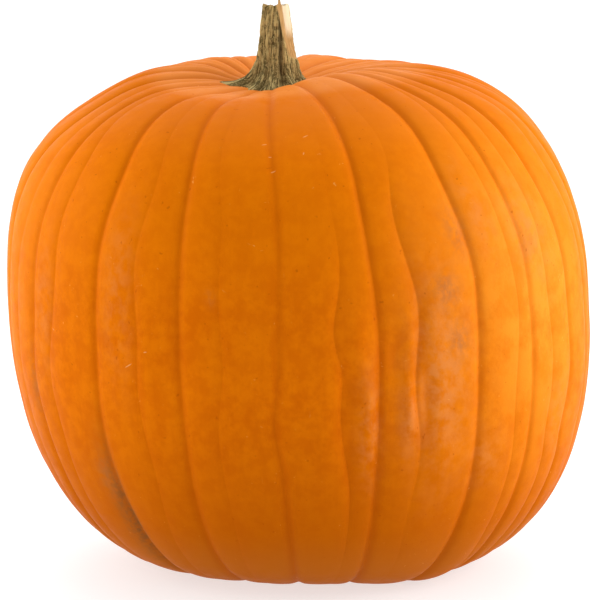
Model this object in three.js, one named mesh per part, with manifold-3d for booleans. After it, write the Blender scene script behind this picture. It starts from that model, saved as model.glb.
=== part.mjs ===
// A ribbed field pumpkin with its broken-off stalk, standing on the flattened ribs of its underside.
// Millimetres, +Z up. The front of the fruit faces -Y, and the origin is under the middle of the whole.
import * as THREE from "three";
import { mergeVertices } from "three/addons/utils/BufferGeometryUtils.js";
import Module from "manifold-3d";

const wasm = await Module();
wasm.setup();

// The fruit's smooth form, before the ribs are cut into it. Heights count from its widest level.
const RADIUS = 164.3;
const UPPER_HEIGHT = 133;
const LOWER_HEIGHT = 166;
const UPPER_SQUARENESS = 2.98; // exponent of the rounded outline: 2 is an ellipse, more is boxier
const LOWER_SQUARENESS = 2.6;
const SETTLE_DEPTH = 153.8; // the underside has settled flatter towards this depth
const SETTLE_POWER = 14.8;
const WIDEST_LEVEL = 147.8; // above the surface it stands on, so the lowest ribs are worn flat
const LEAN = 0.037; // sideways drift of the core per millimetre of height, towards -X
const SHOULDER_TILT = 0.031; // rise of the crown per millimetre towards +X
const SHOULDER_NOD = 0.088; // rise of the crown per millimetre towards the back
const CROWN_DEPTH = 14; // hollow round the stalk
const CROWN_REACH = 34;
const CROWN_SHIFT = -8.5; // the stalk stands off the middle, towards -X
const CROWN_SHIFT_REACH = 60;
const RIM_WAVE = 3; // the hollow's rim is high at the front right and back left, low between them
const RIM_RADIUS = 48;
const RIM_REACH = 30;
const BLOSSOM_DEPTH = 9; // hollow round the blossom scar, underneath
const BLOSSOM_REACH = 30;

// Each rib starts at its groove's longitude: 0 degrees is the front, and +90 is towards +X.
// The rest are shares: groove depth, place and depth of the crease, and how full the rib is.
const FRONT_RIBS = [
  { groove: -62.3, depth: 1.0, creaseAt: 0.36, crease: 0.6, full: 0.3 },
  { groove: -41.2, depth: 1.1, creaseAt: 0.54, crease: 0.4, full: 0.6 },
  { groove: -22.8, depth: 1.0, creaseAt: 0.41, crease: 0.25, full: 0.4 },
  { groove: -4, depth: 0.75, creaseAt: 0.62, crease: 0.7, full: 0.2 },
  { groove: 14.1, depth: 1.1, creaseAt: 0.36, crease: 1.0, full: 0.5 },
  { groove: 35.2, depth: 1.1, creaseAt: 0.68, crease: 0.5, full: 0.6 },
  { groove: 49.6, depth: 0.9, creaseAt: 0.46, crease: 0.7, full: 0.3 },
  { groove: 63.8, depth: 1.0, creaseAt: 0.55, crease: 0.6, full: 0.4 },
];
const BACK_RIB_COUNT = 12;
const ARC_DEPTH = 1.2; // how far a rib falls from its crest to its grooves, at the widest level
const ARC_POWER = 2.2;
const NOTCH_DEPTH = 0.7; // the sharp line along each groove
const NOTCH_WIDTH = 2.4;
const CREASE_DEPTH = 1.2; // the fold along the middle of each rib
const CREASE_WIDTH = 5;
const FULL_HEIGHT = 1.2; // how far the fullest rib stands above the slackest
const RIB_BOW = 5.5; // degrees that the grooves draw in towards the front and back, above the widest level
const BOW_LATITUDE = 31; // degrees above the widest level at which they draw in most
const BOW_REACH = 16;
const POLE_TURN = 4.2; // degrees that the grooves turn towards the stalk, which stands off the middle
const POLE_TURN_FROM = 10; // latitudes between which they turn
const POLE_TURN_TO = 70;
const POLE_TURN_POWER = 1.3;
const RELIEF_FADE = 30; // radius within which the relief dies away at the crown and the blossom scar

// The stalk. Heights count from the bottom of the hollow, and headings run as the longitudes do.
const STEM_HEIGHT = 47;
const STEM_SINK = 4; // how far its foot starts below the hollow it grows from
const STEM_TOP_RADIUS = 8.4;
const STEM_MIDDLE_RADIUS = 11.4;
const STEM_FLARE = 9; // extra radius of the foot, between its toes
const STEM_FLARE_RISE = 6; // height over which the flare dies away
const STEM_TOES = [
  { towards: 272, length: 36, spread: 14 },
  { towards: 322, length: 14, spread: 20 },
  { towards: 22, length: 8, spread: 20 },
  { towards: 92, length: 7, spread: 22 },
  { towards: 150, length: 16, spread: 18 },
  { towards: 210, length: 10, spread: 22 },
];
const STEM_RIDGES = 5;
const RIDGE_DEPTH = 0.08; // share of the radius
const STEM_TWIST = 14; // degrees from foot to top
const SPLIT = { towards: 11, depth: 2, spread: 9 }; // groove beside the strip
const TORN_FACE = { towards: 60, distance: 3.6, slope: 0.2 }; // where a strip has been torn off
const TEAR_FOOT = 18; // height at which the tear runs out to the bark
const TEAR_RUN_OUT = 1.1;
const SPLINTER = { towards: 22, height: 5.6, spread: 13 }; // left standing at the broken top
const TOP_RAGGED = 0.9;
const PITH_RADIUS = 0.42; // share of the top's radius
const PITH_DEPTH = 3;

// Facets
const FRUIT_ROWS = 36;
const ROW_CROWDING = 0.07; // draws the rows closer together at the crown and the underside
const STEM_COLUMNS = 60;
const STEM_ROWS = 16;
const STEM_GAP = 0.3; // clear space between the stalk's foot and the fruit

const GOLDEN = 0.618034; // steps that spread values evenly and without a pattern
const SILVER = 0.414214;
const FULL_TURN = 360;
const radians = THREE.MathUtils.degToRad;
const fraction = (x) => x - Math.floor(x);
const bell = (x) => Math.exp(-x * x);
const unit = (x) => Math.min(Math.max(x, 0), 1);

// Every rib once round, each with its own width and the depth of the next groove
function allRibs() {
  const first = FRONT_RIBS[0].groove;
  const last = FRONT_RIBS[FRONT_RIBS.length - 1].groove;
  const step = (FULL_TURN + first - last) / (BACK_RIB_COUNT + 1);
  const back = [];
  for (let k = 1; k <= BACK_RIB_COUNT; k += 1) {
    back.push({
      groove: last + step * k + 3 * (fraction(k * GOLDEN) - 0.5),
      depth: 0.85 + 0.3 * fraction(k * SILVER),
      creaseAt: 0.36 + 0.28 * fraction(k * GOLDEN + 0.3),
      crease: 0.35 + 0.6 * fraction(k * SILVER + 0.5),
      full: fraction(k * GOLDEN + 0.7),
    });
  }
  const ribs = [...FRONT_RIBS, ...back];
  return ribs.map((rib, i) => {
    const next = ribs[(i + 1) % ribs.length];
    const end = next.groove + (i + 1 === ribs.length ? FULL_TURN : 0);
    return { ...rib, width: end - rib.groove, nextDepth: next.depth };
  });
}

// Smooth outline at one latitude, measured from the widest level: radius, height and outward direction
function outline(latitude) {
  const along = Math.cos(latitude);
  const up = Math.sin(latitude);
  const height = up >= 0 ? UPPER_HEIGHT : LOWER_HEIGHT;
  const power = up >= 0 ? UPPER_SQUARENESS : LOWER_SQUARENESS;
  const reach = (Math.abs(along / RADIUS) ** power + Math.abs(up / height) ** power) ** (-1 / power);
  const r = Math.max(reach * along, 0);
  const rise = reach * up;
  const slopeR = (r / RADIUS) ** (power - 1) / RADIUS;
  const slopeZ = (Math.sign(rise) * (Math.abs(rise) / height) ** (power - 1)) / height;
  const size = Math.hypot(slopeR, slopeZ);
  const settled = rise / (1 + (Math.abs(rise) / SETTLE_DEPTH) ** SETTLE_POWER) ** (1 / SETTLE_POWER);
  const z =
    rise > 0
      ? rise - CROWN_DEPTH * bell(r / CROWN_REACH)
      : settled + BLOSSOM_DEPTH * bell(r / BLOSSOM_REACH);
  return { r, z, outR: slopeR / size, outZ: slopeZ / size };
}

// How far the skin lies below the smooth form, at a share of the way across a rib
function relief(rib, across, r) {
  const millimetres = radians(rib.width) * r;
  const scale = Math.sqrt(r / RADIUS) * unit(r / RELIEF_FADE) ** 2;
  const depth = rib.depth + (rib.nextDepth - rib.depth) * across;
  const arc = ARC_DEPTH * Math.abs(2 * across - 1) ** ARC_POWER;
  const fromGroove = Math.min(across, 1 - across) * millimetres;
  const notch = NOTCH_DEPTH * bell(fromGroove / NOTCH_WIDTH);
  const fromCrease = Math.abs(across - rib.creaseAt) * millimetres;
  const crease = CREASE_DEPTH * rib.crease * Math.exp(-fromCrease / CREASE_WIDTH);
  const fullness = FULL_HEIGHT * (rib.full - 0.5) * Math.sin(Math.PI * across) ** 2;
  return scale * (depth * (arc + notch) + crease - fullness);
}

// Longitude of the point that would lie at this one if the grooves were straight meridians
function longitudeOf(straight, latitude) {
  const up = THREE.MathUtils.radToDeg(latitude);
  const bow = radians(RIB_BOW) * bell((up - BOW_LATITUDE) / BOW_REACH);
  const turned = unit((up - POLE_TURN_FROM) / (POLE_TURN_TO - POLE_TURN_FROM)) ** POLE_TURN_POWER;
  return straight - bow * Math.sin(straight) - radians(POLE_TURN) * turned * Math.cos(straight);
}

// A point of the skin, moved outwards by grow
function skinPoint(rib, across, latitude, grow) {
  const { r, z, outR, outZ } = outline(latitude);
  const out = grow - relief(rib, across, r);
  const longitude = longitudeOf(radians(rib.groove + across * rib.width), latitude);
  const shift = z > 0 ? CROWN_SHIFT * bell(r / CROWN_SHIFT_REACH) : 0;
  const radius = Math.max(r + out * outR, 0);
  const x = shift - LEAN * z + radius * Math.sin(longitude);
  const y = -radius * Math.cos(longitude);
  const tilt = (SHOULDER_TILT * x + SHOULDER_NOD * y) * unit(z / UPPER_HEIGHT) ** 2;
  const rim = unit(r / RIM_RADIUS) * bell((r - RIM_RADIUS) / RIM_REACH);
  const wave = z > 0 ? RIM_WAVE * Math.sin(2 * longitude) * rim : 0;
  return new THREE.Vector3(x, y, Math.max(WIDEST_LEVEL + z + out * outZ + tilt + wave, -grow));
}

// Columns of facets on a rib: its groove, the sides of the groove, its crease and the crests between
function columnsOf(rib) {
  const { creaseAt } = rib;
  return [0, 0.08, creaseAt / 2 + 0.03, creaseAt, (creaseAt + 1) / 2 - 0.03, 0.92];
}

// A sphere's facets, with each vertex moved to where place puts it, by its column and row from the top
function wrapSphere(columns, rows, place) {
  const geometry = new THREE.SphereGeometry(1, columns, rows);
  const position = geometry.getAttribute("position");
  for (let row = 0; row <= rows; row += 1) {
    for (let column = 0; column <= columns; column += 1) {
      const { x, y, z } = place(column % columns, row);
      position.setXYZ(row * (columns + 1) + column, x, y, z);
    }
  }
  geometry.deleteAttribute("normal");
  geometry.deleteAttribute("uv");
  return mergeVertices(geometry, 1e-3);
}

function fruitGeometry(grow = 0) {
  const columns = allRibs().flatMap((rib) => columnsOf(rib).map((across) => ({ rib, across })));
  return wrapSphere(columns.length, FRUIT_ROWS, (column, row) => {
    const { rib, across } = columns[column];
    const down = row / FRUIT_ROWS;
    const crowded = down - ROW_CROWDING * Math.sin(2 * Math.PI * down);
    return skinPoint(rib, across, Math.PI * (0.5 - crowded), grow);
  });
}

// Smallest turn between two headings, in degrees
function turnBetween(a, b) {
  return Math.abs(THREE.MathUtils.euclideanModulo(a - b + 180, FULL_TURN) - 180);
}

// Stalk radius at a height, towards a heading
function stemRadius(heading, height) {
  const rise = unit(height / STEM_HEIGHT);
  const core = THREE.MathUtils.lerp(STEM_MIDDLE_RADIUS, STEM_TOP_RADIUS, rise);
  const turned = radians(STEM_RIDGES * (heading - STEM_TWIST * rise));
  const ridges = RIDGE_DEPTH * (Math.cos(turned) + 0.4 * Math.cos(2 * turned));
  const split = SPLIT.depth * bell(turnBetween(heading, SPLIT.towards) / SPLIT.spread);
  let flare = STEM_FLARE;
  for (const toe of STEM_TOES) {
    flare += toe.length * bell(turnBetween(heading, toe.towards) / toe.spread);
  }
  const fade = Math.exp(-Math.max(height, 0) / STEM_FLARE_RISE);
  const radius = core * (1 + ridges) - split + flare * fade;
  const facing = Math.cos(radians(heading - TORN_FACE.towards));
  const runOut = TEAR_RUN_OUT * Math.max(TEAR_FOOT - height, 0);
  const tornAt = TORN_FACE.distance + TORN_FACE.slope * (STEM_HEIGHT - height) + runOut;
  return facing > 0.2 ? Math.min(radius, tornAt / facing) : radius;
}

// Height of the broken top's edge towards a heading
function stemEdge(heading) {
  const ragged = Math.sin(radians(3 * heading + 40)) + 0.5 * Math.sin(radians(7 * heading));
  const splinter = bell(turnBetween(heading, SPLINTER.towards) / SPLINTER.spread);
  return STEM_HEIGHT + TOP_RAGGED * ragged + SPLINTER.height * splinter;
}

function stemGeometry() {
  const topRows = [0, PITH_RADIUS, 0.75];
  const sideRows = STEM_ROWS - topRows.length - 1;
  const foot = skinPoint(allRibs()[0], 0, Math.PI / 2, 0);
  return wrapSphere(STEM_COLUMNS, STEM_ROWS, (column, row) => {
    const heading = (FULL_TURN * column) / STEM_COLUMNS;
    const edge = stemEdge(heading);
    let height = -STEM_SINK;
    let radius = 0;
    if (row < topRows.length) {
      radius = topRows[row] * stemRadius(heading, edge);
      height = topRows[row] <= PITH_RADIUS ? STEM_HEIGHT - PITH_DEPTH : edge - 0.4;
    } else if (row < STEM_ROWS) {
      const up = 1 - (row - topRows.length) / sideRows;
      height = (edge + STEM_SINK) * up ** 1.6 - STEM_SINK;
      radius = stemRadius(heading, height);
    }
    const turn = radians(heading);
    return new THREE.Vector3(radius * Math.sin(turn), -radius * Math.cos(turn), height).add(foot);
  });
}

function solidOf(geometry) {
  return new wasm.Manifold(
    new wasm.Mesh({
      numProp: 3,
      vertProperties: geometry.getAttribute("position").array,
      triVerts: new Uint32Array(geometry.index.array),
    }),
  );
}

function geometryOf(solid) {
  const { vertProperties, triVerts } = solid.getMesh();
  return new THREE.BufferGeometry()
    .setAttribute("position", new THREE.BufferAttribute(vertProperties, 3))
    .setIndex(new THREE.BufferAttribute(triVerts, 1));
}

function namedMesh(name, geometry, material) {
  const mesh = new THREE.Mesh(geometry, new THREE.MeshStandardMaterial(material));
  mesh.name = name;
  return mesh;
}

const pumpkin = new THREE.Group();
pumpkin.add(namedMesh("fruit", fruitGeometry(), { color: 0xe0720a, roughness: 0.45, metalness: 0 }));

// The stalk's foot is cut to the skin that it grows from
const stem = solidOf(stemGeometry()).subtract(solidOf(fruitGeometry(STEM_GAP)));
pumpkin.add(namedMesh("stem", geometryOf(stem), { color: 0x8a7245, roughness: 0.85, metalness: 0 }));

const middle = new THREE.Box3().setFromObject(pumpkin).getCenter(new THREE.Vector3());
pumpkin.children.forEach((mesh) => mesh.position.set(-middle.x, -middle.y, 0));

export default pumpkin;
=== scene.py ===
"""A ribbed field pumpkin with its broken-off stalk, on a pale floor in soft studio light.

The fruit and the stalk follow the same forms as the solids that they replace, with finer relief:
wandering grooves, folded skin, scars and corky bark. Forms are in millimetres until a mesh is made.
"""

import math

import bpy
import numpy as np
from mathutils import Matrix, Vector, noise
from mathutils.bvhtree import BVHTree


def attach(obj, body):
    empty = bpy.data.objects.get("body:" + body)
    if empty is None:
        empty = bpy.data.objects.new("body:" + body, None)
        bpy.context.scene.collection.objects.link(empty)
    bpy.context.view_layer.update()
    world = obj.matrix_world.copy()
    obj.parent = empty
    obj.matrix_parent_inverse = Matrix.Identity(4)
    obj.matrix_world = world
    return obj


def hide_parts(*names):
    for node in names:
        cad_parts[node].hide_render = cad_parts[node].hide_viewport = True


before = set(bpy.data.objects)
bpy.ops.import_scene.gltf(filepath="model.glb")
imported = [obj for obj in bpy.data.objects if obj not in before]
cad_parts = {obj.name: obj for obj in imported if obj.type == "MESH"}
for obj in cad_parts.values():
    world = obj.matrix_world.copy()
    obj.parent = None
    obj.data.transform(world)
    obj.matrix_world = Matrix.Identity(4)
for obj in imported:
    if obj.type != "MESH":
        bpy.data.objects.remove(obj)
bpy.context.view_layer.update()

MM = 0.001
GOLDEN = 0.618034  # multiples of these two fall evenly, in no plain order, between whole numbers
SILVER = 0.414214

# The fruit's smooth form, before the ribs are cut into it. Heights count from its widest level.
RADIUS = 164.3
UPPER_HEIGHT = 133.0
LOWER_HEIGHT = 166.0
UPPER_SQUARENESS = 2.98
LOWER_SQUARENESS = 2.6
SETTLE_DEPTH = 153.8
SETTLE_POWER = 14.8
WIDEST_LEVEL = 147.8
LEAN = 0.037
SHOULDER_TILT = 0.031
SHOULDER_NOD = 0.088
CROWN_DEPTH = 14.0
CROWN_REACH = 34.0
CROWN_SHIFT = -8.5
CROWN_SHIFT_REACH = 60.0
RIM_WAVE = 3.0
RIM_RADIUS = 48.0
RIM_REACH = 30.0
BLOSSOM_DEPTH = 9.0
BLOSSOM_REACH = 30.0
CENTRE = np.array([-0.009, -0.004, 0.0])  # middle of the form's box, which the origin is under

# Ribs: groove longitude in degrees, then shares for groove depth, crease place, crease depth, fullness
FRONT_RIBS = [
    (-62.3, 1.0, 0.36, 0.6, 0.3),
    (-41.2, 1.1, 0.54, 0.4, 0.6),
    (-22.8, 1.0, 0.41, 0.25, 0.4),
    (-4.0, 0.75, 0.62, 0.7, 0.2),
    (14.1, 1.1, 0.36, 1.0, 0.5),
    (35.2, 1.1, 0.68, 0.5, 0.6),
    (49.6, 0.9, 0.46, 0.7, 0.3),
    (63.8, 1.0, 0.55, 0.6, 0.4),
]
BACK_RIB_COUNT = 12
BACK_RIBS = [  # ratio, start, lowest and highest of the longitude's shift and then of each share
    (GOLDEN, 0.0, -1.5, 1.5),
    (SILVER, 0.0, 0.85, 1.15),
    (GOLDEN, 0.3, 0.36, 0.64),
    (SILVER, 0.5, 0.35, 0.95),
    (GOLDEN, 0.7, 0.0, 1.0),
]
ARC_DEPTH = 1.2
ARC_POWER = 2.2
NOTCH_DEPTH = 0.7
NOTCH_WIDTH = 2.4
CREASE_DEPTH = 1.2
CREASE_WIDTH = 5.0
FULL_HEIGHT = 1.2
RIB_BOW = 5.5
BOW_LATITUDE = 31.0
BOW_REACH = 16.0
POLE_TURN = 4.2
POLE_TURN_FROM = 10.0
POLE_TURN_TO = 70.0
POLE_TURN_POWER = 1.3
RELIEF_FADE = 30.0

# Finer relief of the skin. Each wander and kink moves a groove sideways, in degrees of longitude.
GROOVE_WANDER = 0.15
GROOVE_WAVES = [  # angle for each radian of latitude, ratio between the starts of two grooves, share
    (4.1, GOLDEN, 1.0),
    (9.7, SILVER, 0.6),
]
CREASE_WANDER = 0.03  # as a share of the rib's width
CREASE_WAVES = [  # angle for each radian of latitude, multiple of the rib's start, share
    (5.3, 1, 1.0),
    (13.0, 2, 0.7),
]
KINKS = [  # groove number, latitude, sideways move, height
    (0, -12.0, -1.4, 7.0),
    (1, -16.0, -0.9, 14.0),
    (3, -15.5, -1.1, 6.0),
    (3, 22.0, 1.1, 16.0),
    (4, 36.0, 1.4, 12.0),
    (4, 0.0, 0.7, 10.0),
    (7, -10.0, 0.9, 8.0),
    (7, -21.0, -1.8, 5.0),
]
CREASE_KINKS = [  # rib number, latitude, sideways move, height
    (3, 2.0, -0.7, 5.0),
    (3, -6.5, 0.6, 4.0),
    (3, -28.0, 1.6, 9.0),
    (4, 38.0, 1.2, 10.0),
    (4, 4.0, 0.5, 7.0),
    (4, -12.0, -0.8, 7.0),
]
CREASE_SPANS = [  # rib number, lowest and highest latitude of its full crease
    (3, -30.0, 8.0),
    (4, -14.0, 20.0),
]
CREASE_FADE = 14.0
CREASE_LOSS = 0.8
FOLDS = [  # rib number, depth of its folded crease, latitude, reach up, width to the left and right
    (0, 0.6, 2.0, 26.0, 3.0, 3.5),
    (1, 0.5, -3.0, 16.0, 3.0, 3.5),
    (2, 0.3, 0.0, 20.0, 3.5, 3.5),
    (3, 1.6, -11.0, 22.0, 2.4, 6.0),
    (4, 1.9, 0.0, 20.0, 4.0, 6.0),
    (5, 0.4, 0.0, 40.0, 4.0, 4.0),
    (6, 0.4, 0.0, 40.0, 4.0, 4.0),
]
VALLEYS = [  # groove number, extra depth, latitude, reach up, width to the left and right
    (3, 0.8, -32.0, 18.0, 4.0, 3.0),
    (4, 2.1, -10.0, 24.0, 7.0, 10.0),
    (5, 0.5, -8.0, 26.0, 7.0, 5.0),
]
SWELLS = [  # longitude, latitude, height, reach round, reach up
    (88.0, 24.0, -3.0, 25.0, 14.0),
    (-85.0, 46.0, -2.3, 25.0, 10.0),
    (-88.0, -2.0, 1.6, 25.0, 14.0),
    (42.0, -56.0, 3.0, 20.0, 12.0),
    (-48.0, -50.0, 1.5, 20.0, 11.0),
    (-20.0, 69.0, -4.6, 34.0, 12.0),
    (10.5, -2.0, 1.1, 2.0, 6.0),
    (12.2, -14.0, 1.8, 1.6, 6.0),
    (8.8, -8.5, -1.8, 1.5, 4.0),
    (8.6, -20.0, -1.3, 1.5, 4.0),
    (17.6, -4.0, -1.9, 1.7, 4.0),
    (17.4, -15.0, -1.0, 1.4, 4.0),
    (20.0, -12.0, 1.5, 1.3, 5.0),
    (20.3, 1.0, 0.9, 1.3, 4.0),
    (23.8, -11.0, -2.2, 1.1, 5.0),
    (25.0, 2.0, 0.9, 2.6, 6.0),
    (27.0, -21.0, 0.8, 2.4, 4.0),
    (-100.0, 55.0, 2.0, 30.0, 8.0),
    (4.0, -20.0, 0.6, 2.2, 6.0),
    (11.0, -27.0, -0.6, 2.4, 5.0),
    (28.0, -15.0, -0.6, 3.0, 6.0),
    (-30.0, -6.0, 0.5, 2.4, 9.0),
    (-52.0, -10.0, 0.6, 3.0, 8.0),
]
# Patches of scuffed skin which the rind also paints with a pinkish sheen, a painted highlight on the
# folds
SCUFF_AND_SHEEN_PATCHES = [  # longitude, latitude, strength, reach round, reach up
    (27.0, -6.0, 1.0, 5.5, 17.0),
    (12.5, -16.0, 0.8, 2.0, 9.0),
    (19.8, -14.0, 0.7, 1.5, 7.0),
    (-36.0, 8.0, 0.5, 3.0, 14.0),
    (40.0, 22.0, 0.6, 3.0, 9.0),
    (53.0, 17.0, 0.6, 6.0, 10.0),
    (60.0, -18.0, 0.5, 5.0, 8.0),
    (38.0, -23.0, 0.5, 4.0, 5.0),
    (-58.0, 2.0, 0.5, 3.0, 12.0),
]
BRUISES = [  # longitude, latitude, strength, reach round, reach up
    (28.3, 8.5, 0.9, 2.6, 3.0),
    (30.5, -1.0, 0.9, 2.2, 3.5),
    (33.5, 19.0, 0.6, 2.6, 5.0),
    (52.3, 16.4, 0.5, 3.0, 4.0),
    (-16.4, 7.6, 0.5, 0.9, 1.2),
    (-64.0, -13.0, 0.7, 1.6, 6.0),
    (-44.0, -28.0, 0.6, 2.0, 4.0),
    (152.0, 12.0, 0.7, 3.0, 5.0),
    (-128.0, -14.0, 0.7, 2.6, 6.0),
]
SCRATCHES = [  # longitude, height above the floor, slant in degrees, length
    (-8.2, 246.0, 25.0, 5.0),
    (-6.6, 240.0, 15.0, 3.0),
    (-5.6, 233.0, 30.0, 5.0),
    (1.3, 250.0, 35.0, 4.0),
    (0.8, 242.0, 80.0, 2.4),
    (-54.1, 144.0, -20.0, 4.0),
    (-33.2, 131.0, 30.0, 6.0),
    (-29.4, 139.0, 10.0, 2.6),
    (118.0, 190.0, 20.0, 6.0),
    (171.0, 120.0, -30.0, 7.0),
    (-110.0, 215.0, 40.0, 5.0),
]
SCRATCH_WIDTH = 0.8
SCUFF_HEIGHT = 0.3
# Patches of yellower skin on the sides, made paler in part as painted light where the side lamps strike
YELLOW_AND_LIT_PATCHES = [  # longitude, latitude, strength, reach round, reach up
    (52.0, 6.0, 1.0, 24.0, 28.0),
    (-80.0, 8.0, 0.5, 16.0, 30.0),
]
STAIN = {"groove": 1, "latitude": -37.0, "reach_up": 14.0, "left": 9.0, "right": 3.0}
SCAR_RADIUS = 9.0
SCAR_HEIGHT = 0.8
SCAR_BASE = 0.6
UNEVEN_HEIGHT = 0.5
UNEVEN_SIZE = 55.0
GRAIN_HEIGHT = 0.1
GRAIN_SIZE = 11.0

# How much deeper grooves and creases get near the crown, round the back and near the bottom
CROWN_GAIN = 0.9
CROWN_GAIN_LATITUDE = 62.0
CROWN_GAIN_REACH = 22.0
BACK_GAIN = 0.7
LOW_GAIN = 0.8
LOW_GAIN_LATITUDE = -52.0
LOW_GAIN_REACH = 20.0

FRUIT_ROWS = 190
FRONT_COLUMNS = 38
BACK_COLUMNS = 18
ROW_CROWDING = 0.04
COLUMN_CROWDING = 0.105

# The stalk stands on the floor of the crown hollow. Headings are degrees from the front, to the right.
STEM_HEIGHT = 47.0
STEM_SINK = 4.0
STEM_TOP_RADIUS = 8.4
STEM_MIDDLE_RADIUS = 11.4
STEM_FLARE = 4.5
STEM_FLARE_RISE = 6.0
STEM_TOES = [  # heading, length, spread
    (290.0, 17.0, 12.0),
    (322.0, 9.0, 14.0),
    (352.0, 8.0, 13.0),
    (28.0, 6.0, 16.0),
    (92.0, 6.0, 20.0),
    (150.0, 9.0, 18.0),
    (210.0, 8.0, 22.0),
]
TOE_DRAPE = 7.0
OVERHEAD = 1000.0  # a height well above the fruit
STEM_RIDGES = 5
RIDGE_DEPTH = 0.08
RIDGE_OVERTONE = 0.4
STEM_TWIST = 14.0
SPLIT = {"towards": 11.0, "depth": 2.0, "spread": 9.0}
# The stalk's split is filled with painted shade, over this spread and fading in up to this height
SPLIT_SHADE_SPREAD = 7.2
SPLIT_SHADE_FROM = 12.0
TORN_FACE = {"towards": 60.0, "distance": 3.6, "slope": 0.2}
TORN_FACING = 0.2
TEAR_FOOT = 18.0
TEAR_RUN_OUT = 1.1
SPLINTER = {"towards": 22.0, "height": 4.8, "spread": 12.0}
TOP_RAGGED = 0.35
TOP_WAVES = [(3, 40.0, 1.0), (7, 0.0, 0.5)]  # waves once round, start, share
TOP_TEETH = 0.5
TOP_TOOTH_WAVES = [(17, 0.0), (29, 60.0)]  # waves once round, start
TOP_RINGS = [0.42, 0.6, 0.78, 0.92]  # shares of the top's radius, from the pith outwards
TOP_DISH = 2.2
TOP_ROUGH_HEIGHT = 0.5
TOP_ROUGH_SIZE = 1.2
TOP_BARE = 0.6
PITH_DEPTH = 3.0
STEM_COLUMNS = 200
STEM_SIDE_ROWS = 100
STEM_ROW_CROWDING = 1.4
STEM_BURIED = 0.8
BARK_HEIGHT = 0.4
BARK_SIZE = 1.5
BARK_SQUEEZE = 0.5
FIBRE_HEIGHT = 0.3
FIBRE_SIZE = 0.75
FIBRE_SQUEEZE = 0.07
BARK_RADIUS = 9.0

# Colours, as linear red, green and blue
RIND = {
    "dark mottle": (0.595, 0.120, 0.0004),
    "light mottle": (0.685, 0.160, 0.0008),
    "cloud": (0.70, 0.172, 0.0010),
    "streak": (0.55, 0.104, 0.0005),
    # yellower skin, paled in part as painted side light
    "yellow_and_lit": (0.79, 0.255, 0.018),
    # painted shade along the grooves and creases
    "groove": (0.44, 0.076, 0.0005),
    "crease": (0.44, 0.078, 0.0005),
    # paler and pinkish: partly scuffed skin, partly painted sheen
    "scuff_and_sheen": (0.66, 0.235, 0.062),
    "bruise": (0.33, 0.125, 0.045),
    "stain": (0.17, 0.075, 0.022),
    "pit": (0.36, 0.055, 0.0008),
    "fleck": (0.80, 0.36, 0.075),
    "dark cork": (0.10, 0.055, 0.022),
    "light cork": (0.30, 0.18, 0.08),
    "scratch": (0.80, 0.42, 0.16),
}
# First band: lighter just above the widest level. Second: painted shade over the shoulders. Third: a
# painted pinkish sheen round the crown. Fourth: painted shade over the lower half. Fifth: a paler
# painted rim underneath, the floor's reflection.
RIND_BANDS = [  # latitudes in radians where a tint starts and where it is full, amount, tint
    (0.0, 0.35, 0.45, (0.74, 0.178, 0.0008)),
    (0.45, 0.95, 0.8, (0.54, 0.126, 0.0005)),
    (0.98, 1.1, 0.75, (0.64, 0.205, 0.040)),
    (-0.1, -0.8, 0.85, (0.41, 0.088, 0.0005)),
    (-0.62, -0.85, 0.65, (0.45, 0.124, 0.010)),
]
RIND_STREAK_STRETCH = 0.12
RIND_SHINE = 0.007
STALK = {
    "dark fibre": (0.11, 0.078, 0.022),
    "light fibre": (0.50, 0.36, 0.135),
    # painted shade in the bark's hollows
    "hollow": (0.045, 0.032, 0.009),
    "foot": (0.065, 0.048, 0.016),
    "streak": (0.62, 0.47, 0.19),
    "dot": (0.50, 0.39, 0.16),
    # painted shade inside the split
    "split": (0.045, 0.030, 0.010),
    "dark wood": (0.33, 0.185, 0.062),
    "light wood": (0.56, 0.33, 0.125),
    # pale cream wood: partly fresh wood, partly painted light on the torn top's right side
    "fresh and lit wood": (0.74, 0.60, 0.40),
}
STALK_STREAK_STRETCH = 0.5
STALK_SHINE = 0.06
STALK_ROUGHNESS = 0.8
FLOOR_GREY = (0.4, 0.4, 0.4, 1.0)
FLOOR_GLOW = 0.65
FLOOR_ROUGHNESS = 0.6
WHITE = (1.0, 1.0, 1.0, 1.0)

# The stage, in metres
FLOOR_REACH = 40.0
MIDDLE = (0.0, 0.0, 0.15)
SOFTBOXES = [  # name, place, width, height, power
    ("left_box", (-1.5, 0.1, 0.55), 1.4, 1.2, 14.0),
    ("right_box", (1.5, 0.0, 0.6), 1.4, 1.2, 24.0),
    ("top_box", (0.0, 0.9, 1.8), 1.8, 1.4, 14.0),
]
TENT_DIM = 0.35
TENT_BRIGHT = 1.3
TENT_DIM_UP_TO = -0.9
TENT_BRIGHT_FROM = 0.2
LENS = 174.0
CLIP_END = 200.0
CAMERA_ELEVATION = math.radians(8.0)
CAMERA_DISTANCE = 1650.0 * MM
CAMERA_TARGET = (np.array([0.0, 0.0, 146.4]) - CENTRE) * MM


def bell(x):
    return np.exp(-x * x)


def unit(x):
    return np.clip(x, 0.0, 1.0)


def fraction(x):
    return x - np.floor(x)


def turn(heading, towards):
    """Degrees from one heading to another, the short way round."""
    return (heading - towards + 180.0) % 360.0 - 180.0


def rough(points, size, octaves):
    """Smooth random heights, about -1 to 1, for an array of points."""
    flat = points.reshape(-1, 3) / size
    heights = [noise.fractal(Vector(p), 1.0, 2.0, octaves) for p in flat.tolist()]
    return np.array(heights).reshape(points.shape[:-1])


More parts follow.
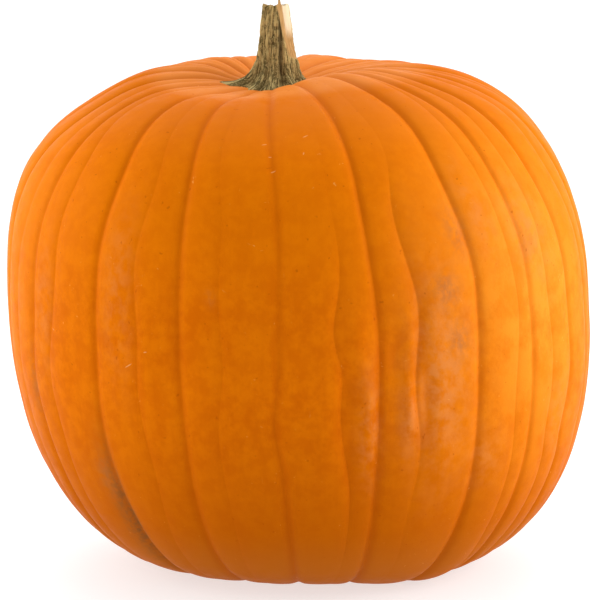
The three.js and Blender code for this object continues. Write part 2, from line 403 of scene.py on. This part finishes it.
def all_ribs():
    """Every rib once round: its five values as above, its width and the next groove's depth."""
    first, last = FRONT_RIBS[0][0], FRONT_RIBS[-1][0]
    step = (360.0 + first - last) / (BACK_RIB_COUNT + 1)
    k = np.arange(1, BACK_RIB_COUNT + 1)
    back = []
    for ratio, start, lowest, highest in BACK_RIBS:
        back.append(lowest + (highest - lowest) * fraction(k * ratio + start))
    back[0] = back[0] + last + step * k
    ribs = np.vstack([np.array(FRONT_RIBS), np.stack(back, axis=1)])
    following = np.roll(ribs, -1, axis=0)
    width = (following[:, 0] - ribs[:, 0]) % 360.0
    return np.column_stack([ribs, width, following[:, 1]])


def outline(latitude):
    """Radius, height and outward direction of the smooth form at each latitude."""
    along, up = np.cos(latitude), np.sin(latitude)
    height = np.where(up >= 0, UPPER_HEIGHT, LOWER_HEIGHT)
    power = np.where(up >= 0, UPPER_SQUARENESS, LOWER_SQUARENESS)
    reach = (np.abs(along / RADIUS) ** power + np.abs(up / height) ** power) ** (-1.0 / power)
    r = np.maximum(reach * along, 0.0)
    rise = reach * up
    slope_r = (r / RADIUS) ** (power - 1) / RADIUS
    slope_z = np.sign(rise) * (np.abs(rise) / height) ** (power - 1) / height
    size = np.hypot(slope_r, slope_z)
    settled = rise / (1 + (np.abs(rise) / SETTLE_DEPTH) ** SETTLE_POWER) ** (1 / SETTLE_POWER)
    crown = rise - CROWN_DEPTH * bell(r / CROWN_REACH)
    z = np.where(rise > 0, crown, settled + BLOSSOM_DEPTH * bell(r / BLOSSOM_REACH))
    return r, z, slope_r / size, slope_z / size


def wander(groove_number, latitude):
    """How far each groove strays from its meridian at each latitude, in degrees."""
    total = 0 * latitude
    for pace, ratio, share in GROOVE_WAVES:
        start = 2 * np.pi * fraction(groove_number * ratio)
        total = total + GROOVE_WANDER * share * np.sin(pace * latitude + start)
    for kinked, level, move, height in KINKS:
        total = total + (groove_number == kinked) * move * bell((np.degrees(latitude) - level) / height)
    return total


def patches(listed, degrees_round, degrees_up):
    """The sum of soft patches, each by longitude, latitude, strength and its reach round and up."""
    total = 0 * degrees_round
    for at_round, at_up, strength, reach_round, reach_up in listed:
        beside = bell(turn(degrees_round, at_round) / reach_round)
        total = total + strength * beside * bell((degrees_up - at_up) / reach_up)
    return total


def skin(number, across, latitude):
    """Points of the skin by column (rib number, share across) and latitude, and what is near them."""
    ribs = all_ribs()
    groove, depth, crease_at, crease, full, width, next_depth = ribs[number].T[:, :, None]
    number = number[:, None]
    next_number = (number + 1) % len(ribs)
    latitude = latitude[None, :]
    degrees_up = np.degrees(latitude)
    r, z, out_r, out_z = outline(latitude)
    span = np.radians(width) * r
    fade = unit(r / RELIEF_FADE)
    scale = np.sqrt(r / RADIUS) * fade**2

    start = 2 * np.pi * fraction(number * GOLDEN)
    stray = 0 * latitude
    for pace, multiple, share in CREASE_WAVES:
        stray = stray + CREASE_WANDER * share * np.sin(pace * latitude + multiple * start)
    for rib, level, move, height in CREASE_KINKS:
        stray = stray + (number == rib) * move / width * bell((degrees_up - level) / height)
    straight_across = across[:, None]
    towards_crease = np.minimum(straight_across / crease_at, (1 - straight_across) / (1 - crease_at))
    across = straight_across + stray * towards_crease
    from_crease = (across - crease_at - stray) * span
    from_groove = np.minimum(across, 1 - across) * span

    grooved = depth + (next_depth - depth) * across
    arc = ARC_DEPTH * np.abs(2 * across - 1) ** ARC_POWER
    near_groove = bell(from_groove / NOTCH_WIDTH)
    near_crease = np.exp(-np.abs(from_crease) / CREASE_WIDTH)
    for rib, lowest, highest in CREASE_SPANS:
        beyond = unit(np.maximum(lowest - degrees_up, degrees_up - highest) / CREASE_FADE)
        near_crease = near_crease * (1 - (number == rib) * CREASE_LOSS * beyond)
    fullness = FULL_HEIGHT * (full - 0.5) * np.sin(np.pi * across) ** 2
    drop = grooved * (arc + NOTCH_DEPTH * near_groove) + CREASE_DEPTH * crease * near_crease - fullness
    for rib, fold_depth, level, reach_up, left, right in FOLDS:
        flank = np.exp(-np.abs(from_crease) / np.where(from_crease < 0, left, right))
        drop = drop + (number == rib) * fold_depth * flank * bell((degrees_up - level) / reach_up)
    for valley, valley_depth, level, reach_up, left, right in VALLEYS:
        flank = (next_number == valley) * np.exp((across - 1) * span / left)
        flank = flank + (number == valley) * np.exp(-across * span / right)
        drop = drop + valley_depth * flank * bell((degrees_up - level) / reach_up)
    gain = 1 + CROWN_GAIN * bell((degrees_up - CROWN_GAIN_LATITUDE) / CROWN_GAIN_REACH)
    gain = gain + LOW_GAIN * bell((degrees_up - LOW_GAIN_LATITUDE) / LOW_GAIN_REACH)
    gain = gain + BACK_GAIN * unit(-np.cos(np.radians(groove + across * width)))
    drop = drop * scale * gain

    strayed = wander(number, latitude) * (1 - across) + wander(next_number, latitude) * across
    degrees_round = groove + across * width + strayed * np.cos(latitude)
    straight = np.radians(degrees_round)
    bow = math.radians(RIB_BOW) * bell((degrees_up - BOW_LATITUDE) / BOW_REACH)
    turned = unit((degrees_up - POLE_TURN_FROM) / (POLE_TURN_TO - POLE_TURN_FROM)) ** POLE_TURN_POWER
    longitude = straight - bow * np.sin(straight) - math.radians(POLE_TURN) * turned * np.cos(straight)

    direction = np.stack(
        [
            np.sin(longitude) * np.cos(latitude),
            -np.cos(longitude) * np.cos(latitude),
            np.sin(latitude) + 0 * longitude,
        ],
        axis=-1,
    )
    scuff_and_sheen = patches(SCUFF_AND_SHEEN_PATCHES, degrees_round, degrees_up)
    grain = rough(direction * RADIUS, GRAIN_SIZE, octaves=2)
    drop = drop - fade * UNEVEN_HEIGHT * rough(direction * RADIUS, UNEVEN_SIZE, octaves=2)
    drop = drop - fade * (GRAIN_HEIGHT + SCUFF_HEIGHT * scuff_and_sheen) * grain
    drop = drop - patches(SWELLS, degrees_round, degrees_up)
    scar = np.where(latitude < 0, bell((r / SCAR_RADIUS) ** 2), 0.0) + 0 * longitude
    drop = drop - SCAR_HEIGHT * scar * (SCAR_BASE + grain)

    shift = np.where(z > 0, CROWN_SHIFT * bell(r / CROWN_SHIFT_REACH), 0.0)
    radius = np.maximum(r - drop * out_r, 0.0)
    x = shift - LEAN * z + radius * np.sin(longitude)
    y = -radius * np.cos(longitude)
    tilt = (SHOULDER_TILT * x + SHOULDER_NOD * y) * unit(z / UPPER_HEIGHT) ** 2
    rim = unit(r / RIM_RADIUS) * bell((r - RIM_RADIUS) / RIM_REACH)
    wave = np.where(z > 0, RIM_WAVE * np.sin(2 * longitude) * rim, 0.0)
    level = np.maximum(WIDEST_LEVEL + z - drop * out_z + tilt + wave, 0.0)

    stain = (next_number == STAIN["groove"]) * bell((1 - across) * span / STAIN["left"])
    stain = stain + (number == STAIN["groove"]) * bell(across * span / STAIN["right"])
    values = {
        # groove and crease mask the painted shade along the grooves and creases
        "groove": near_groove * fade,
        "crease": near_crease * fade,
        # scuffed patches, which also carry a painted sheen
        "scuff_and_sheen": scuff_and_sheen,
        "bruise": patches(BRUISES, degrees_round, degrees_up),
        # the sides' yellower skin, partly painted side light
        "yellow_and_lit": patches(YELLOW_AND_LIT_PATCHES, degrees_round, degrees_up),
        "stain": stain * bell((degrees_up - STAIN["latitude"]) / STAIN["reach_up"]),
        "scar": scar,
        "round": np.sin(longitude),
        "forward": np.cos(longitude),
        "up": latitude + 0 * longitude,
    }
    return np.stack([x, y, level], axis=-1) - CENTRE, values


def closed_mesh(name, grid, top, bottom, values):
    """A closed surface from a grid (columns counter-clockwise, rows downwards) and two poles."""
    columns, rows = grid.shape[:2]
    points = np.concatenate([grid.reshape(-1, 3), [top], [bottom]]) * MM
    index = np.arange(columns * rows).reshape(columns, rows)
    beside = np.roll(index, -1, axis=0)
    corners = [index[:, :-1], index[:, 1:], beside[:, 1:], beside[:, :-1]]
    quads = np.stack(corners, axis=-1).reshape(-1, 4)
    pole = columns * rows
    faces = quads.tolist()
    faces += [[pole, a, b] for a, b in zip(index[:, 0].tolist(), beside[:, 0].tolist())]
    faces += [[pole + 1, b, a] for a, b in zip(index[:, -1].tolist(), beside[:, -1].tolist())]
    mesh = bpy.data.meshes.new(name)
    mesh.from_pydata(points.tolist(), [], faces)
    mesh.polygons.foreach_set("use_smooth", [True] * len(mesh.polygons))
    for label, grid_values in values.items():
        ends = [grid_values[0, 0], grid_values[0, -1]]
        data = np.append(grid_values.reshape(-1), ends).astype(np.float32)
        mesh.attributes.new(label, "FLOAT", "POINT").data.foreach_set("value", data)
    mesh.update()
    piece = bpy.data.objects.new(name, mesh)
    bpy.context.scene.collection.objects.link(piece)
    return piece


def make_fruit():
    """The skin with columns crowded along every groove and crease. Also gives the top of its crown."""
    number, across = [], []
    for rib, crease_at in enumerate(all_ribs()[:, 2]):
        half = (FRONT_COLUMNS if rib < len(FRONT_RIBS) else BACK_COLUMNS) // 2
        even = np.arange(half) / half
        crowded = even - COLUMN_CROWDING * np.sin(2 * np.pi * even)
        across += [crowded * crease_at, crease_at + crowded * (1 - crease_at)]
        number += [rib] * (2 * half)
    down = np.arange(FRUIT_ROWS + 1) / FRUIT_ROWS
    latitude = np.pi * (0.5 - down + ROW_CROWDING * np.sin(2 * np.pi * down))
    points, values = skin(np.array(number), np.concatenate(across), latitude)
    inner = slice(1, FRUIT_ROWS)
    values = {name: value[:, inner] for name, value in values.items()}
    top = points[0, 0]
    bottom = points[0, -1]
    return closed_mesh("fruit_skin", points[:, inner], top, bottom, values), top


def stem_radius(heading, height):
    """Distance of the stalk's side from its middle line, and how far the torn face cuts into it."""
    rise = unit(height / STEM_HEIGHT)
    core = STEM_MIDDLE_RADIUS + (STEM_TOP_RADIUS - STEM_MIDDLE_RADIUS) * rise
    turned = np.radians(STEM_RIDGES * (heading - STEM_TWIST * rise))
    ridges = RIDGE_DEPTH * (np.cos(turned) + RIDGE_OVERTONE * np.cos(2 * turned))
    split = SPLIT["depth"] * bell(turn(heading, SPLIT["towards"]) / SPLIT["spread"])
    flare = STEM_FLARE + sum(
        length * bell(turn(heading, towards) / spread) for towards, length, spread in STEM_TOES
    )
    radius = core * (1 + ridges) - split + flare * np.exp(-np.maximum(height, 0.0) / STEM_FLARE_RISE)
    facing = np.cos(np.radians(heading - TORN_FACE["towards"]))
    torn_at = TORN_FACE["distance"] + TORN_FACE["slope"] * (STEM_HEIGHT - height)
    torn_at = torn_at + TEAR_RUN_OUT * np.maximum(TEAR_FOOT - height, 0.0)
    torn = np.where(facing > TORN_FACING, torn_at / np.maximum(facing, TORN_FACING), np.inf)
    return np.minimum(radius, torn), unit(radius - torn)


def stem_edge(heading):
    """Height of the stalk's broken edge."""
    waves = 0.0
    for count, start, share in TOP_WAVES:
        waves = waves + share * np.sin(np.radians(count * heading + start))
    teeth = 1.0
    for count, start in TOP_TOOTH_WAVES:
        teeth = teeth * np.sin(np.radians(count * heading + start))
    splinter = SPLINTER["height"] * bell(turn(heading, SPLINTER["towards"]) / SPLINTER["spread"])
    return STEM_HEIGHT + TOP_RAGGED * waves + TOP_TEETH * teeth + splinter


def make_stem(foot, fruit_surface):
    """The stalk, with its toes laid along the skin of the crown hollow."""
    heading = (np.arange(STEM_COLUMNS) * 360.0 / STEM_COLUMNS)[:, None]
    angle = np.radians(heading)
    edge = stem_edge(heading)
    up = 1 - np.arange(STEM_SIDE_ROWS)[None, :] / (STEM_SIDE_ROWS - 1)
    height = (edge + STEM_SINK) * up**STEM_ROW_CROWDING - STEM_SINK
    radius, torn = stem_radius(heading, height)
    ring_x = BARK_RADIUS * np.sin(angle) + 0 * height
    ring_y = -BARK_RADIUS * np.cos(angle) + 0 * height
    bark = rough(np.stack([ring_x, ring_y, height * BARK_SQUEEZE], axis=-1), BARK_SIZE, octaves=3)
    fibre = rough(np.stack([ring_x, ring_y, height * FIBRE_SQUEEZE], axis=-1), FIBRE_SIZE, octaves=2)
    radius = radius + BARK_HEIGHT * bark * (1 - torn) + FIBRE_HEIGHT * fibre

    top_radius = radius[:, :1] * np.array(TOP_RINGS)
    top_height = edge - TOP_DISH * (1 - top_radius / radius[:, :1])
    top_height[:, 0] = STEM_HEIGHT - PITH_DEPTH
    top_points = np.stack([top_radius * np.sin(angle), top_radius * np.cos(angle), top_height], axis=-1)
    top_height = top_height + TOP_ROUGH_HEIGHT * rough(top_points, TOP_ROUGH_SIZE, octaves=2)
    none = np.zeros_like(top_radius)
    # mask of the painted shade inside the split
    split = bell(turn(heading, SPLIT["towards"]) / SPLIT_SHADE_SPREAD) * (1 - torn)
    values = {
        "torn": np.concatenate([none + TOP_BARE, torn], axis=1),
        "bark": np.concatenate([none, bark], axis=1),
        "fibre": np.concatenate([none, fibre], axis=1),
        "split": np.concatenate([none, split * unit(height / SPLIT_SHADE_FROM)], axis=1),
    }
    radius = np.concatenate([top_radius, radius], axis=1)
    height = np.concatenate([top_height, height], axis=1)
    values["rise"] = height / STEM_HEIGHT
    values["round"] = np.sin(angle) + 0 * height
    values["forward"] = np.cos(angle) + 0 * height

    grid = np.stack([radius * np.sin(angle), -radius * np.cos(angle), height], axis=-1) + foot
    for point in grid.reshape(-1, 3):
        overhead = Vector((point[0] * MM, point[1] * MM, OVERHEAD * MM))
        skin_up = fruit_surface.ray_cast(overhead, Vector((0, 0, -1)))[0].z / MM - foot[2]
        above = point[2] - foot[2]
        point[2] += skin_up * math.exp(-max(above, 0.0) / TOE_DRAPE)
        point[2] = max(point[2], foot[2] + skin_up - STEM_BURIED)
    top = foot + np.array([0.0, 0.0, STEM_HEIGHT - PITH_DEPTH])
    bottom = foot - np.array([0.0, 0.0, STEM_BURIED])
    return closed_mesh("stem_bark", grid, top, bottom, values)


def add(tree, kind, values=None, **settings):
    """A new node with its settings, and its inputs set to numbers or joined to other nodes' outputs."""
    made = tree.nodes.new(kind)
    for key, value in settings.items():
        setattr(made, key, value)
    for key, value in (values or {}).items():
        if isinstance(value, bpy.types.NodeSocket):
            tree.links.new(value, made.inputs[key])
        else:
            made.inputs[key].default_value = value
    return made


def attribute(tree, name):
    return add(tree, "ShaderNodeAttribute", attribute_name=name).outputs["Fac"]


def speckle(tree, place, scale, detail=3.0, roughness=0.55, distortion=0.0):
    """Soft random spots, as a value about 0 to 1."""
    settings = {
        "Vector": place,
        "Scale": scale,
        "Detail": detail,
        "Roughness": roughness,
        "Distortion": distortion,
    }
    return add(tree, "ShaderNodeTexNoise", settings).outputs["Fac"]


def ranged(tree, value, low, high, to_low=0.0, to_high=1.0):
    """The value eased from one range to another, and held at its ends."""
    settings = {"Value": value, "From Min": low, "From Max": high, "To Min": to_low, "To Max": to_high}
    return add(tree, "ShaderNodeMapRange", settings, interpolation_type="SMOOTHSTEP").outputs["Result"]


def times(tree, a, b):
    return add(tree, "ShaderNodeMath", {0: a, 1: b}, operation="MULTIPLY").outputs[0]


def blended(tree, share, base, colour, way="MIX"):
    made = add(tree, "ShaderNodeMix", data_type="RGBA", blend_type=way)
    for socket, value in ((made.inputs[0], share), (made.inputs[6], base), (made.inputs[7], colour)):
        if isinstance(value, bpy.types.NodeSocket):
            tree.links.new(value, socket)
        elif isinstance(value, tuple):
            socket.default_value = (*value, 1.0)
        else:
            socket.default_value = value
    return made.outputs[2]


def new_material(name):
    material = bpy.data.materials.new(name)
    material.use_nodes = True
    return material, material.node_tree, material.node_tree.nodes["Principled BSDF"]


def painted(tree, colour, share, amount, paint):
    """The colour with a paint laid over it, by a mask and an amount."""
    return blended(tree, times(tree, share, amount), colour, paint)


def scratch_mask(tree, place, surface, longitude, height, slant, length):
    """A short healed scratch: a thin spindle that lies along the skin, seen where the skin cuts it."""
    angle = math.radians(longitude)
    outward = Vector((math.sin(angle), -math.cos(angle), 0.0))
    spot, normal = surface.ray_cast(Vector((0.0, 0.0, height * MM)), outward)[:2]
    level = Vector((math.cos(angle), math.sin(angle), 0.0))
    uphill = normal.cross(level)
    along = level * math.cos(math.radians(slant)) + uphill * math.sin(math.radians(slant))
    spindle = {
        "Vector": place,
        "Location": spot,
        "Rotation": along.to_track_quat("X", "Z").to_euler(),
        "Scale": (length / 2 * MM, SCRATCH_WIDTH / 2 * MM, SCRATCH_WIDTH / 2 * MM),
    }
    local = add(tree, "ShaderNodeMapping", spindle, vector_type="TEXTURE").outputs[0]
    reach = add(tree, "ShaderNodeVectorMath", {0: local}, operation="LENGTH").outputs["Value"]
    return ranged(tree, reach, 1.0, 0.5)


def rind_material(surface):
    """Orange rind: mottled, streaked along the ribs, yellower at the sides, scuffed, stained and
    specked. Painted light: shade in the grooves and creases, over the shoulders and below; a sheen on
    the scuffs and round the crown; light on the sides; the floor's reflection underneath.
    """
    material, tree, shader = new_material("rind")
    place = add(tree, "ShaderNodeTexCoord").outputs["Object"]
    up = attribute(tree, "up")
    along = times(tree, up, RIND_STREAK_STRETCH)
    lengthwise = {"X": attribute(tree, "round"), "Y": attribute(tree, "forward"), "Z": along}
    flow = add(tree, "ShaderNodeCombineXYZ", lengthwise).outputs[0]

    mottle = ranged(tree, speckle(tree, place, 120.0, 6.0, 0.68), 0.36, 0.66)
    colour = blended(tree, mottle, RIND["dark mottle"], RIND["light mottle"])
    cloud = ranged(tree, speckle(tree, place, 26.0), 0.4, 0.7)
    colour = painted(tree, colour, cloud, 0.3, RIND["cloud"])
    streak = ranged(tree, speckle(tree, flow, 30.0, 4.0), 0.45, 0.72)
    colour = painted(tree, colour, streak, 0.28, RIND["streak"])
    # Most bands are painted light: shade over the shoulders and below, a sheen round the crown, the
    # floor's reflection underneath.
    for start, full, amount, tint in RIND_BANDS:
        colour = painted(tree, colour, ranged(tree, up, start, full), amount, tint)
    # The sides are painted yellower and paler: partly the skin's own tone, partly painted side light.
    yellow_and_lit_noise = ranged(tree, speckle(tree, place, 55.0, 6.0, 0.7), 0.34, 0.62, 0.45, 1.0)
    colour = painted(tree, colour, times(tree, attribute(tree, "yellow_and_lit"), yellow_and_lit_noise), 0.95, RIND["yellow_and_lit"])
    # Painted shade darkens the skin along the grooves and creases.
    colour = painted(tree, colour, attribute(tree, "groove"), 0.3, RIND["groove"])
    colour = painted(tree, colour, attribute(tree, "crease"), 0.12, RIND["crease"])

    # Scuffed patches are painted pale and pinkish: partly real scuffing, partly painted sheen.
    scuff_and_sheen_noise = ranged(tree, speckle(tree, place, 130.0, 5.0, 0.62, 0.15), 0.36, 0.66)
    colour = painted(tree, colour, times(tree, attribute(tree, "scuff_and_sheen"), scuff_and_sheen_noise), 0.6, RIND["scuff_and_sheen"])
    uneven = ranged(tree, speckle(tree, place, 170.0, 5.0, 0.65, 0.2), 0.34, 0.62)
    colour = painted(tree, colour, times(tree, attribute(tree, "bruise"), uneven), 0.65, RIND["bruise"])
    dirt = ranged(tree, speckle(tree, place, 240.0, 4.0, 0.65), 0.36, 0.64, 0.35, 1.0)
    colour = painted(tree, colour, times(tree, attribute(tree, "stain"), dirt), 0.8, RIND["stain"])
    pits = ranged(tree, speckle(tree, place, 380.0, 1.0), 0.73, 0.79)
    colour = painted(tree, colour, pits, 0.45, RIND["pit"])
    flecks = ranged(tree, speckle(tree, place, 300.0, 2.0, 0.5, 1.5), 0.73, 0.79)
    colour = painted(tree, colour, flecks, 0.45, RIND["fleck"])
    cork = blended(tree, dirt, RIND["dark cork"], RIND["light cork"])
    colour = blended(tree, attribute(tree, "scar"), colour, cork)
    for scratch in SCRATCHES:
        healed = scratch_mask(tree, place, surface, *scratch)
        colour = painted(tree, colour, healed, 0.5, RIND["scratch"])
    tree.links.new(colour, shader.inputs["Base Color"])

    gloss = ranged(tree, speckle(tree, place, 160.0, 4.0), 0.3, 0.7, 0.36, 0.5)
    tree.links.new(gloss, shader.inputs["Roughness"])
    shader.inputs["Specular IOR Level"].default_value = RIND_SHINE
    pores = speckle(tree, place, 900.0, 3.0, 0.6)
    bump = add(tree, "ShaderNodeBump", {"Strength": 0.12, "Distance": 0.0006, "Height": pores})
    tree.links.new(bump.outputs["Normal"], shader.inputs["Normal"])
    return material


def stalk_material():
    """Corky olive bark streaked along the stalk, with painted shade in its hollows and its split, and
    tan wood that pales to cream towards the torn top's right side, partly as painted light.
    """
    material, tree, shader = new_material("stalk")
    place = add(tree, "ShaderNodeTexCoord").outputs["Object"]
    rise = attribute(tree, "rise")
    right = attribute(tree, "round")
    along = times(tree, rise, STALK_STREAK_STRETCH)
    lengthwise = {"X": right, "Y": attribute(tree, "forward"), "Z": along}
    flow = add(tree, "ShaderNodeCombineXYZ", lengthwise).outputs[0]

    fibre = ranged(tree, attribute(tree, "fibre"), -0.5, 0.5)
    colour = blended(tree, fibre, STALK["dark fibre"], STALK["light fibre"])
    # Painted shade darkens the bark's hollows.
    hollow = ranged(tree, attribute(tree, "bark"), 0.1, -0.5)
    colour = painted(tree, colour, hollow, 0.75, STALK["hollow"])
    colour = painted(tree, colour, ranged(tree, rise, 0.45, 0.05), 0.72, STALK["foot"])
    streak = ranged(tree, speckle(tree, flow, 19.0, 4.0, 0.65), 0.5, 0.62)
    colour = painted(tree, colour, streak, 0.6, STALK["streak"])
    dots = ranged(tree, speckle(tree, place, 1100.0, 2.0), 0.55, 0.66)
    colour = painted(tree, colour, dots, 0.55, STALK["dot"])
    # Painted shade fills the split.
    colour = painted(tree, colour, attribute(tree, "split"), 0.85, STALK["split"])

    grain = ranged(tree, speckle(tree, flow, 16.0, 4.0, 0.6), 0.35, 0.7)
    wood = blended(tree, grain, STALK["dark wood"], STALK["light wood"])
    # The torn top pales to cream towards its right: partly fresh wood, partly painted light where that
    # side faces the lamps.
    fresh_and_lit = times(tree, ranged(tree, rise, 0.58, 0.78), ranged(tree, right, 0.62, 0.85))
    wood = blended(tree, fresh_and_lit, wood, STALK["fresh and lit wood"])
    colour = blended(tree, attribute(tree, "torn"), colour, wood)
    tree.links.new(colour, shader.inputs["Base Color"])
    shader.inputs["Roughness"].default_value = STALK_ROUGHNESS
    shader.inputs["Specular IOR Level"].default_value = STALK_SHINE
    bump = add(tree, "ShaderNodeBump", {"Strength": 0.4, "Distance": 0.0005, "Height": streak})
    tree.links.new(bump.outputs["Normal"], shader.inputs["Normal"])
    return material


def floor_material():
    """White cloth lit from below, so that the floor stays pale where the pumpkin shades it."""
    material, _, shader = new_material("pale_floor")
    shader.inputs["Base Color"].default_value = FLOOR_GREY
    shader.inputs["Roughness"].default_value = FLOOR_ROUGHNESS
    shader.inputs["Emission Color"].default_value = WHITE
    shader.inputs["Emission Strength"].default_value = FLOOR_GLOW
    return material


fruit, crown = make_fruit()
fruit_surface = BVHTree.FromObject(fruit, bpy.context.evaluated_depsgraph_get())
fruit.data.materials.append(rind_material(fruit_surface))
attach(fruit, "root")
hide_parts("fruit")

stem = make_stem(crown, fruit_surface)
stem.data.materials.append(stalk_material())
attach(stem, "root")
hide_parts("stem")

floor_mesh = bpy.data.meshes.new("floor")
corners = [(x * FLOOR_REACH, y * FLOOR_REACH, 0.0) for x, y in ((-1, -1), (1, -1), (1, 1), (-1, 1))]
floor_mesh.from_pydata(corners, [], [(0, 1, 2, 3)])
floor_mesh.materials.append(floor_material())
floor = bpy.data.objects.new("floor", floor_mesh)
bpy.context.scene.collection.objects.link(floor)


def aim(thing, place, target):
    """Puts a lamp or the camera at a place and points it at the target."""
    thing.location = place
    thing.rotation_euler = (Vector(target) - Vector(place)).to_track_quat("-Z", "Y").to_euler()


def softbox(name, place, width, height, power):
    light = bpy.data.lights.new(name, "AREA")
    light.shape = "RECTANGLE"
    light.size = width
    light.size_y = height
    light.energy = power
    lamp = bpy.data.objects.new(name, light)
    bpy.context.scene.collection.objects.link(lamp)
    aim(lamp, place, MIDDLE)


for box in SOFTBOXES:
    softbox(*box)


def tent_world():
    """White cloth on every side, dim in front, so that light reaches the front from the sides."""
    world = bpy.data.worlds.new("tent")
    world.use_nodes = True
    tree = world.node_tree
    direction = add(tree, "ShaderNodeTexCoord").outputs["Generated"]
    back = add(tree, "ShaderNodeSeparateXYZ", {"Vector": direction}).outputs["Y"]
    strength = ranged(tree, back, TENT_DIM_UP_TO, TENT_BRIGHT_FROM, TENT_DIM, TENT_BRIGHT)
    sky = tree.nodes["Background"]
    sky.inputs["Color"].default_value = WHITE
    tree.links.new(strength, sky.inputs["Strength"])
    return world


bpy.context.scene.world = tent_world()
bpy.context.scene.view_settings.view_transform = "Standard"

lens = bpy.data.cameras.new("camera")
lens.lens = LENS
lens.clip_end = CLIP_END
camera = bpy.data.objects.new("camera", lens)
bpy.context.scene.collection.objects.link(camera)
away = np.array([0.0, -math.cos(CAMERA_ELEVATION), math.sin(CAMERA_ELEVATION)]) * CAMERA_DISTANCE
aim(camera, tuple(CAMERA_TARGET + away), tuple(CAMERA_TARGET))
bpy.context.scene.camera = camera
